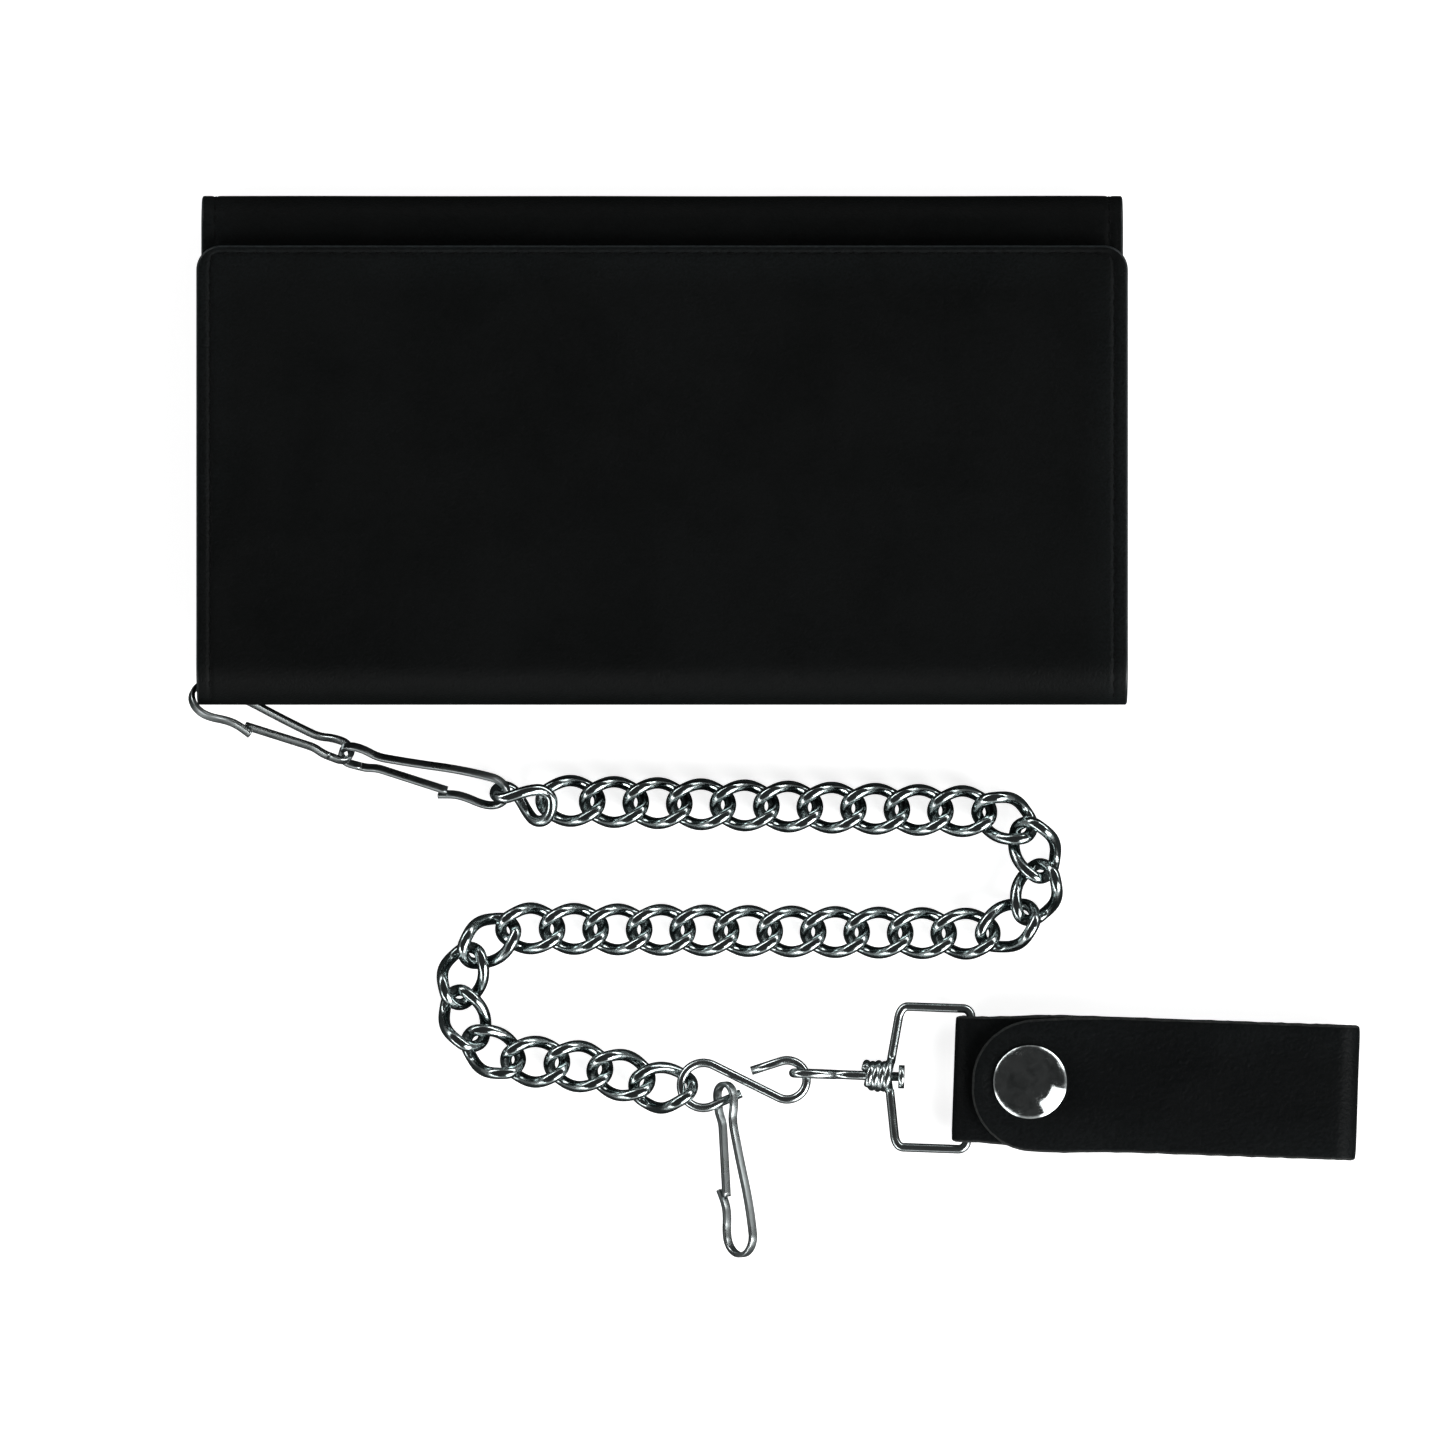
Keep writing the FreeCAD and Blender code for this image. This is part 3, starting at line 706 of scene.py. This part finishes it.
# On the cap the darker film patches are partly tarnish and partly painted reflection, standing in
# for the mottled room the dome mirrors.
CAP_METAL = metal("cap_nickel", (0.70, 0.74, 0.74), (0.22, 0.25, 0.25), 0.06, 0.05, scuffs=0.2,
                  patches=330)
TOOTH_METAL = metal("zip_metal", (0.4, 0.42, 0.42), (0.22, 0.24, 0.24), 0.25, 0.3)


# ---- wallet ---------------------------------------------------------------------------------
def cover_width(s):
    """The flap is a little wider than the back; the change is in the bottom fold."""
    back = TOP_Y - BOTTOM_Y
    return HALF_COVER + (HALF_FLAP - HALF_COVER) * smooth01((s - back) / (FOLD_R * math.pi / 2))


def cover_skin():
    """Back, bottom fold and flap as one sheet, with the seam round the flap."""
    back = TOP_Y - BOTTOM_Y
    path = Path().line(TOP_Y, 0, BOTTOM_Y, 0, 0, -1)
    path.arc(BOTTOM_Y, FOLD_R, FOLD_R, 270, 90)
    path.line(BOTTOM_Y, 2 * FOLD_R, FLAP_TOP, 2 * FOLD_R, 0, 1)
    fold = back + math.pi * FOLD_R
    rows = steps(2, back, 4)[:-1] + steps(back, fold, 0.85)[:-1] + steps(fold, path.length, 2.2)
    seam_from = fold - SEAM_REACH

    def lift(x, s, near):
        on_flap = smooth01((s - fold) / 8)
        swell = 0.2 * wave(x, s, 45, 1.3) + 0.07 * wave(x, s, 15, 4.1)
        dent = -0.28 * math.exp(-max(near, 0) / 2.4) if s > fold else 0.0
        return on_flap * (swell * smooth01(near / 6) + dent)

    def groove(x, s, near):
        from_top = path.length - s
        from_side = cover_width(s) - abs(x)
        at_top = smooth01((from_side - from_top) / 4 + 0.5)
        at = STITCH_IN + (STITCH_TOP - STITCH_IN) * at_top
        return seam_press(0.4, at, 0.38)(x, s, near) * smooth01((s - seam_from) / 3)

    sheet = Sheet(path, cover_width, LEATHER, rows, on_wallet, corners=(0.0, CORNER_R),
                  free=(False, True), lift=lift, groove=groove)
    blend = ("wallet", "front_flap", (0, 0, 7.6), (0, 0, 15.6))
    skin = sheet.build("cover_skin", columns(HALF_FLAP), [HIDE, HIDE_EDGE],
                       replaces=("back_cover", "flap_leather"), slot="black_leather")
    cut_slot(skin)
    blend_over(skin)

    inner = HALF_FLAP - STITCH_IN
    top = path.length - STITCH_TOP
    r = CORNER_R - STITCH_IN
    line = [(-inner, seam_from + 1), (-inner, top - r)]
    line += corner_line(-inner + r, top - r, r, 180, 90)[1:]
    line += corner_line(inner - r, top - r, r, 90, 0)
    line += [(inner, seam_from + 1)]
    verts, faces = thread_bits(seam_places(sheet, line))
    make_piece("flap_stitching", verts, faces, [THREAD], blend=blend)


def cut_slot(skin):
    """Slot in the bottom fold that the clip hooks through."""
    turn = math.radians(SLOT_TURN)
    out = Vector((0, math.cos(turn), math.sin(turn)))
    along = Vector((1, 0, 0))
    to_row = placing(Vector((SLOT_X, BOTTOM_Y, FOLD_R)), (along, out.cross(along), out))
    outline = [(SLOT_HALF + SLOT_R * math.cos(a), SLOT_R * math.sin(a))
               for a in (math.radians(d) for d in steps(-90, 90, 15))]
    outline += [(-x, -y) for x, y in outline]
    cut_prism(skin, outline, FOLD_R - 3.0, FOLD_R + 2.5, to_row)


def cut_prism(piece, outline, low, high, to_row=Vector):
    """Cut a straight hole through a piece; the outline runs counter-clockwise."""
    count = len(outline)
    verts = [to_row((x, y, z)) * MM for z in (low, high) for x, y in outline]
    faces = [tuple(range(count))[::-1], tuple(range(count, 2 * count))]
    faces += [(i, (i + 1) % count, count + (i + 1) % count, count + i) for i in range(count)]
    mesh = bpy.data.meshes.new("cutter")
    mesh.from_pydata(verts, [], faces)
    cutter = bpy.data.objects.new("cutter", mesh)
    bpy.context.scene.collection.objects.link(cutter)
    cut = piece.modifiers.new("cut", "BOOLEAN")
    cut.operation, cut.solver, cut.object = "DIFFERENCE", "EXACT", cutter
    bpy.context.view_layer.update()
    done = piece.evaluated_get(bpy.context.evaluated_depsgraph_get())
    mesh = bpy.data.meshes.new_from_object(done)
    piece.modifiers.clear()
    piece.data = mesh
    bpy.data.objects.remove(cutter)


def panel_skin():
    """Rolled top edge of the wallet and the card panel that hangs from it."""
    path = Path().arc(TOP_Y, TOP_R, TOP_R, -90, 90)
    path.line(TOP_Y, 2 * TOP_R, PANEL_LOW, 2 * TOP_R, 0, 1)
    fold = math.pi * TOP_R
    rows = steps(0, fold, 0.8)[:-1] + steps(fold, path.length, 2.5)
    press = seam_press(0.24, STITCH_IN)

    def lift(x, s, near):
        return 0.1 * wave(x, s, 30, 7.7) * smooth01(near / 5) * smooth01((s - 3) / 6)

    def groove(x, s, near):
        return press(x, s, near) * smooth01((s - 2) / 3)

    sheet = Sheet(path, lambda s: HALF_COVER, LEATHER, rows, on_wallet,
                  corners=(0.0, PANEL_CORNER_R), free=(False, True), lift=lift, groove=groove)
    blend = ("wallet", "card_panel", (0, 0, 1.6), (0, 0, 12.4))
    sheet.build("panel_skin", columns(HALF_COVER), [HIDE, HIDE_EDGE], replaces=("card_panel",),
                slot="black_leather", blend=blend)
    inner = HALF_COVER - STITCH_IN
    low = path.length - STITCH_IN
    places = []
    for side in (-1, 1):
        places += seam_places(sheet, [(side * inner, 5.0), (side * inner, path.length - 3)])
    places += seam_places(sheet, [(-inner + 3, low), (inner - 3, low)])
    verts, faces = thread_bits(places)
    make_piece("panel_stitching", verts, faces, [THREAD], blend=blend)


def soft_panel(name, body, x_ends, y_ends, z_ends, replaces=(), face_up=True, corner=2.0,
               stitched=2.0, window=None):
    """Flat lining panel with rounded corners and, stitched in from its edge, a seam."""
    (x0, x1), (y0, y1), (z0, z1) = x_ends, y_ends, z_ends
    half, mid, thick = (x1 - x0) / 2, (x1 + x0) / 2, z1 - z0
    face_z, way = (z1, 1) if face_up else (z0, -1)
    path = Path().line(y0, face_z, y1, face_z, 0, way)
    fall = 0.05 if thick < 1 else 0.1
    sheet = Sheet(path, lambda s: half, thick, steps(0, path.length, 2.5),
                  lambda x, a, b: Vector((x + mid, a, b)), corners=(corner, corner),
                  edge=min(0.3, thick * 0.45),
                  lift=lambda x, s, near: -fall * math.exp(-max(near, 0) / 1.5),
                  groove=seam_press(0.08, stitched) if stitched else None)
    piece = sheet.build(name, columns(half, coarse=8.0), [LINING, HIDE_EDGE], rings=4,
                        replaces=replaces, slot="lining")
    if window:
        wx, wy0, wy1 = window
        cut_prism(piece, [(-wx, wy0), (wx, wy0), (wx, wy1), (-wx, wy1)], z0 - 3.5, z1 + 3.5)
    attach(piece, body)
    if stitched:
        a, b = half - stitched, path.length - stitched
        loop = [(-a, stitched), (-a, b), (a, b), (a, stitched), (-a, stitched)]
        verts, faces = thread_bits(seam_places(sheet, loop), radius=0.16, length=2.3, sunk=0.1)
        make_piece(name + "_stitching", verts, faces, [THREAD], body=body)


def wallet_inside():
    """Linings, the zip pocket's panel and three card pockets on each side of the card panel."""
    low = BOTTOM_Y
    soft_panel("flap_lining_skin", "front_flap", (-93.25, 93.25), (low + 6.6, FLAP_TOP - 2),
               (14.3, 2 * FOLD_R - LEATHER - 0.02), ("flap_lining",), face_up=False, corner=3.0)
    soft_panel("bill_lining_skin", "wallet", (-92.5, 92.5), (low + 1, TOP_Y - 1),
               (BACK_TOP, 2.38), ("bill_pocket_lining",), stitched=0)
    soft_panel("zip_panel_skin", "wallet", (-91, 91), (low + 3, TOP_Y - 6), (2.42, 3.5),
               ("zip_pocket_panel",), window=(ZIP_HALF, ZIP_Y - 4, ZIP_Y + 4))
    top = 2 * TOP_R - LEATHER
    y1 = TOP_Y - 4.5 - 4
    for side, word in ((-1, "left"), (1, "right")):
        for i in range(3):
            z1 = top - 0.6 * i - 0.02
            soft_panel("card_slot_%d_%s" % (i + 1, word), "card_panel",
                       (side * CARD_X - CARD_HALF, side * CARD_X + CARD_HALF),
                       (y1 - 34, y1 - CARD_STEP * i), (z1 - 0.56, z1),
                       ("card_slots",) if side < 0 and i == 0 else (),
                       face_up=False, corner=1.2, stitched=1.6)


def zipper():
    """Two tape halves with a cord edge, and a row of teeth on each."""
    inner, outer = 0.35, 3.95
    verts, faces = [], []
    section = soft_rectangle(0.75, 0.85, 0.2, 3)
    for side, word in ((-1, "lower"), (1, "upper")):
        face = TAPE_Z + TAPE_T
        path = Path().line(ZIP_Y + side * inner, face, ZIP_Y + side * outer, face, 0, 1)
        sheet = Sheet(path, lambda s: ZIP_HALF - 0.05, TAPE_T - 0.04, steps(0, path.length, 0.4),
                      on_wallet, edge=0.2,
                      lift=lambda x, s, near: 0.16 * math.exp(-((s - 0.5) / 0.45) ** 2))
        sheet.build("zip_tape_" + word, columns(ZIP_HALF, coarse=5.0), [CLOTH], rings=3,
                    body="wallet", replaces=("zipper_tape",) if side > 0 else (),
                    slot="zipper_cloth")
        for i in range(int(2 * (ZIP_HALF - 3) / TOOTH_PITCH)):
            x = -ZIP_HALF + 3.4 + TOOTH_PITCH * (i + (0.5 if side > 0 else 0.0))
            points = [Vector((x, ZIP_Y + side * d, TAPE_Z + 1.15)) for d in (-0.35, 0.0, 0.6, 1.5)]
            tooth, tooth_faces = sweep(points, section, flat_normal=Vector((0, 0, 1)),
                                       scale=lambda t: 0.72 + 0.28 * smooth01(t * 2))
            base = len(verts)
            verts += tooth
            faces += [tuple(base + k for k in face) for face in tooth_faces]
    make_piece("zip_teeth", verts, faces, [TOOTH_METAL], body="wallet")


# ---- clips ----------------------------------------------------------------------------------
def clip_lines():
    """Centre lines of a clip's frame and of its gate, in the clip's own plane."""
    hair = Vector((0, 1e-4, 0))         # keeps the ends of a half turn from lying opposite
    eye_a, eye_b = Vector((0, -EYE_R, 0)), Vector((0, EYE_R, 0))
    neck = Vector((6.5, 1.6, 0))
    long_end, catch = Vector((HOOK_U, HOOK_R, 0)), Vector((HOOK_U, -HOOK_R, 0))
    bend, tip = Vector((HOOK_U - 4.8, -3.5, 0)), Vector((HOOK_U - 9.6, -4.75, 0))
    ahead, back = Vector((1, 0, 0)), Vector((-1, 0, 0))
    bend_way = Vector((-1, 0.05, 0)).normalized()
    tip_way = Vector((-1, -0.42, 0)).normalized()
    rising = (long_end - neck).normalized()
    line = [Vector((1.95, -EYE_R, 0)), Vector((1.0, -EYE_R, 0)), eye_a]
    line += arc_points(eye_a, back, eye_b - hair, 0.3)
    line += biarc_points(eye_b, ahead, neck, rising)
    line += biarc_points(neck, rising, long_end, ahead, 0.5)
    line += arc_points(long_end, ahead, catch + hair, 0.3)
    line += biarc_points(catch, back, bend, bend_way)
    line += biarc_points(bend, bend_way, tip, tip_way)
    start, low = Vector(GATE_FROM), Vector(GATE_NECK)
    end = Vector((HOOK_U - 8.1, -3.0, 0))
    along = (end - low).normalized()
    gate = [start] + biarc_points(start, ahead, low, along) + arc_points(low, along, end, 0.3)
    return line, gate


def clips():
    """Three clips, each a frame and a gate bent from one flat wire."""
    apart = axes(EYES_HEADING)[0] * (EYES_APART / 2)
    lines = clip_lines()
    section = soft_rectangle(CLIP_THICK, CLIP_WIDE, 0.26, 5)
    for name, at, way in (
            ("wallet_clip", EYES_MEET - apart + Vector((0, 0, 0.3)), axes(159, 10, 223.5)),
            ("chain_clip", EYES_MEET + apart - Vector((0, 0.2, 0.3)), axes(-14.7, 0, 46)),
            ("key_clip", KEY_EYE, axes(-84, 3.5, 50.6))):
        to_row = placing(at, way)
        gate = name + "_gate"
        joined = (name, gate, to_row(GATE_FROM), to_row((GATE_NECK[0], -EYE_R, 0)))
        for node, line, follow in ((name, lines[0], {"body": name}),
                                   (gate, lines[1], {"blend": joined})):
            verts, faces = sweep([to_row(p) for p in line], section, flat_normal=way[2])
            make_piece(node + "_wire", verts, faces, [CLIP_METAL], replaces=(node,),
                       slot="satin_nickel", **follow)


# ---- ring and belt strap --------------------------------------------------------------------
def ring_wire():
    """Rectangular ring in one wire, its two ends wound round the swivel shank."""
    r, h, x0 = 1.7, RING_H / 2, -RING_W
    back = Vector((-1, 0, 0))
    halves = []
    for side, turns in ((1, 2.15), (-1, 1.9)):
        a = Vector((0, side * (h - r), 0))
        b = Vector((-r, side * h, 0))
        c = Vector((x0 + 1.2 + r, side * h, 0))
        d = Vector((x0 + 1.0, side * (h - r - 0.6), 0))
        e = Vector((x0 - 0.25, side * 3.1, 0))
        inward = (e - d).normalized()
        line = [Vector((0, side * y, 0)) for y in (0, 4, 8, h - r)]
        line += arc_points(a, Vector((0, side, 0)), b)
        line += arc_points(b, back, c, 0.5)
        line += biarc_points(c, back, d, inward)
        line += arc_points(d, inward, e, 0.4)
        count = int(turns * 26)
        for i in range(1, count + 1):
            t = i / count
            turn = math.radians(90 * side) - turns * 2 * math.pi * t
            radius = 2.42 + 0.6 * math.exp(-t * turns * 9) + 0.12 * math.cos(turn * 3 + side)
            along = x0 - 0.35 - t * turns * 2.42
            line.append(Vector((along, radius * math.sin(turn), radius * math.cos(turn))))
        halves.append(line)
    points = [BELT(p) for p in halves[1][:0:-1] + halves[0]]
    verts, faces = sweep(points, circle(RING_WIRE_R, 14),
                         scale=lambda t: 1.0 - 0.17 * smooth01((abs(t - 0.5) - 0.26) * 14))
    make_piece("ring_wire", verts, faces, [WIRE_METAL], body="strap_ring",
               replaces=("strap_ring",), slot="bright_nickel")


def strap_width(x_of):
    """Half width along the strap, whose place from the ring bar is x_of(s).

    The strap is drawn in at the ring, and its edges are uneven, as cut by hand.
    """
    def width(s):
        half = WAIST_HALF + (STRAP_HALF - WAIST_HALF) * smooth01((x_of(s) - 1.0) / 18)
        return half + 0.13 * wave(s, 0, 2.1, 3.0) + 0.1 * wave(s, 0, 0.9, 8.0)
    return width


def strap_skins():
    """The strap round the ring bar, and its tab from the far fold to the nose."""
    hold = RING_Z
    cols = columns(STRAP_HALF, fine=(0, 0.4, 0.9, 1.6, 2.6, 4.0), coarse=2.2)
    body_path = Path().line(LAP_X, hold, 0, hold, 0, 1).arc(0, 0, hold, 90, 270)
    body_path.line(0, -hold, SPLIT_X, -hold, 0, -1)
    wrap = LAP_X + math.pi * hold

    def body_x(s):
        return LAP_X - s if s < LAP_X else (0.0 if s < wrap else s - wrap)

    rows = steps(0, LAP_X, 1.2)[:-1] + steps(LAP_X, wrap, 0.5)[:-1]
    rows += steps(wrap, body_path.length, 1.2)
    body = Sheet(body_path, strap_width(body_x), STRAP_T, rows, on_belt, free=(True, False),
                 edge=0.45, lift=lambda x, s, near: -0.12 * math.exp(-max(near, 0) / 0.9))
    body.build("strap_skin", cols, [STRAP_HIDE, STRAP_EDGE], body="strap",
               replaces=("strap_back",), slot="strap_leather")

    start = FAR_X - SPLIT_X
    tab_path = Path().line(SPLIT_X, -hold, FAR_X, -hold, 0, -1)
    tab_path.arc(FAR_X, STRAP_R - RING_Z, STRAP_R, -90, 90)
    tab_path.line(FAR_X, TAB_TOP, NOSE_X, TAB_TOP, 0, 1)
    fold = start + math.pi * STRAP_R
    rows = steps(0, start, 1)[:-1] + steps(start, fold, 0.5)[:-1]
    rows += steps(fold, tab_path.length, 1.2)
    snap_s = tab_path.length - (SNAP_FROM_BAR - NOSE_X)

    def on_tab(x, a, b):
        """The end of the tab lies a little below the middle of the layer under it."""
        return on_belt(x - 0.8 * smooth01((34 - a) / 26) * smooth01((b - 1) / 4), a, b)

    def tab_lift(x, s, near):
        from_snap = math.hypot(x, s - snap_s)
        pressed = -0.22 * math.exp(-((from_snap - CAP_R - 0.4) / 1.5) ** 2)
        swell = 0.16 * wave(x, s, 18, 2.2) * smooth01(near / 4)
        return swell + pressed - 0.25 * math.exp(-max(near, 0) / 0.9)

    tab = Sheet(tab_path, strap_width(lambda s: tab_path.length - s), STRAP_T, rows, on_tab,
                corners=(0.0, WAIST_HALF - 1.0), free=(False, True), edge=0.45, lift=tab_lift)
    tab.build("strap_tab_skin", cols, [STRAP_HIDE, STRAP_EDGE], replaces=("strap_tab",),
              slot="strap_leather",
              blend=("strap", "strap_tab", BELT((0, 0, -0.9)), BELT((0, 0, 4.1))))


def snap_cap_piece():
    """Pressed cap: shallow dome, rolled edge."""
    rim = TAB_TOP + 0.3
    profile = [(CAP_R - 1.0, TAB_TOP - 0.25), (CAP_R - 0.3, TAB_TOP - 0.05), (CAP_R, rim)]
    count = 25
    for i in range(1, count):
        share = math.cos(math.radians(90 * i / count))
        profile.append((CAP_R * share, rim + CAP_RISE * (1 - share ** 2.3)))
    verts, faces = lathe(profile, 96)
    verts = [BELT((x + SNAP_FROM_BAR, y, z)) for x, y, z in verts]
    make_piece("cap_dome", verts, faces, [CAP_METAL], body="strap_tab", replaces=("snap_cap",),
               slot="bright_nickel")


# ---- CAD nodes that stay --------------------------------------------------------------------
def dress(node, material, bevel=0.0):
    """Procedural metal on a CAD node, with smooth shading and, where a bevel is given, small
    rounded edges.
    """
    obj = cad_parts[node]
    mesh = obj.data
    if "custom_normal" in mesh.attributes:
        mesh.attributes.remove(mesh.attributes["custom_normal"])
    mesh.materials.clear()
    mesh.materials.append(material)
    mesh.polygons.foreach_set("use_smooth", [True] * len(mesh.polygons))
    weld = obj.modifiers.new("weld", "WELD")
    weld.merge_threshold = 0.002 * MM
    if bevel:
        rounded = obj.modifiers.new("bevel", "BEVEL")
        rounded.width, rounded.segments, rounded.limit_method = bevel * MM, 2, "ANGLE"
        rounded.angle_limit = math.radians(40)
        rounded.harden_normals = True


def dress_nodes():
    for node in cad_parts:
        if node.startswith("link_"):
            dress(node, CHAIN_METAL)
    dress("s_hook", WIRE_METAL)
    dress("swivel_eye", WIRE_METAL)
    dress("zipper_slider", TOOTH_METAL, bevel=0.15)
    for node in ("flap_snap_socket", "panel_snap_stud", "snap_socket", "snap_stud"):
        dress(node, WIRE_METAL, bevel=0.12)


# ---- studio ---------------------------------------------------------------------------------
def pale_floor(low):
    """White ground just under the wallet. Metal sees it dark, as it does black card."""
    size = 30.0
    mesh = bpy.data.meshes.new("floor")
    corners = ((-size, -size, 0), (size, -size, 0), (size, size, 0), (-size, size, 0))
    mesh.from_pydata(corners, [], [(0, 1, 2, 3)])
    floor = bpy.data.objects.new("floor", mesh)
    floor.location.z = low - 0.2 * MM
    bpy.context.scene.collection.objects.link(floor)
    n = Nodes("pale_floor")
    path = n.add("ShaderNodeLightPath")
    shade = n.mix(path.outputs["Is Glossy Ray"], (0.88, 0.88, 0.88), (0.05, 0.055, 0.055))
    grain = n.noise(300, 4)
    n.finish(Base_Color=shade, Roughness=0.9, Specular_IOR_Level=0.0,
             Emission_Color=(1, 1, 1), Normal=n.bump(grain, 0.05, 0.0001))
    n.put(n.shader, "Emission Strength", n.math("MULTIPLY", path.outputs["Is Camera Ray"], 0.8))
    mesh.materials.append(n.material)


def soft_light():
    """World of soft boxes for the metal to mirror; the camera sees plain white."""
    world = bpy.data.worlds.new("studio")
    bpy.context.scene.world = world
    world.use_nodes = True
    w = Nodes(tree=world.node_tree)
    parts = w.add("ShaderNodeSeparateXYZ")
    w.put(parts, 0, w.add("ShaderNodeTexCoord").outputs["Generated"])
    x, y, z = parts.outputs
    turn = w.math("ARCTAN2", y, x)

    def between(value, low, high, soft):
        return w.math("MULTIPLY", w.ramp(value, low - soft, low + soft),
                      w.ramp(value, high - soft, high + soft, 1.0, 0.0))

    # four soft boxes in a low ring, a large box in front on the right, a pale wall in front
    lobes = w.math("SINE", w.math("MULTIPLY_ADD", turn, 4.0, -math.pi / 2))
    ring = w.math("MULTIPLY", between(z, 0.27, 0.43, 0.03), w.ramp(lobes, -0.6, 0.3, 0.08, 1.0))
    large = w.math("MULTIPLY", between(z, 0.26, 0.76, 0.03), between(turn, -1.1, -0.25, 0.06))
    wall = w.math("MULTIPLY", between(z, -0.2, 0.26, 0.06), w.ramp(y, -0.2, -0.75, 0.03, 0.13))
    total = w.math("ADD", w.math("ADD", ring, large), wall)
    glow = w.math("MULTIPLY_ADD", total, 5.5, 0.04)
    seen = w.add("ShaderNodeLightPath").outputs["Is Camera Ray"]
    w.put(world.node_tree.nodes["Background"], "Color", w.mix(seen, glow, (1.0, 1.0, 1.0)))


def overhead_camera():
    """Long lens straight above, framed as the photo is; lengths in metres."""
    view_width, distance = 0.2959, 3.0
    data = bpy.data.cameras.new("camera")
    data.sensor_width = 36.0
    data.lens = data.sensor_width * distance / view_width
    data.clip_end = 100.0
    camera = bpy.data.objects.new("camera", data)
    camera.location = (0.0123, -0.0556, distance)
    bpy.context.scene.collection.objects.link(camera)
    bpy.context.scene.camera = camera


# ---- build ----------------------------------------------------------------------------------
cover_skin()
panel_skin()
wallet_inside()
zipper()
clips()
ring_wire()
strap_skins()
snap_cap_piece()
dress_nodes()

bpy.context.scene.view_settings.view_transform = "Standard"
pale_floor(min(cad_low.z, 0.0))
soft_light()
overhead_camera()
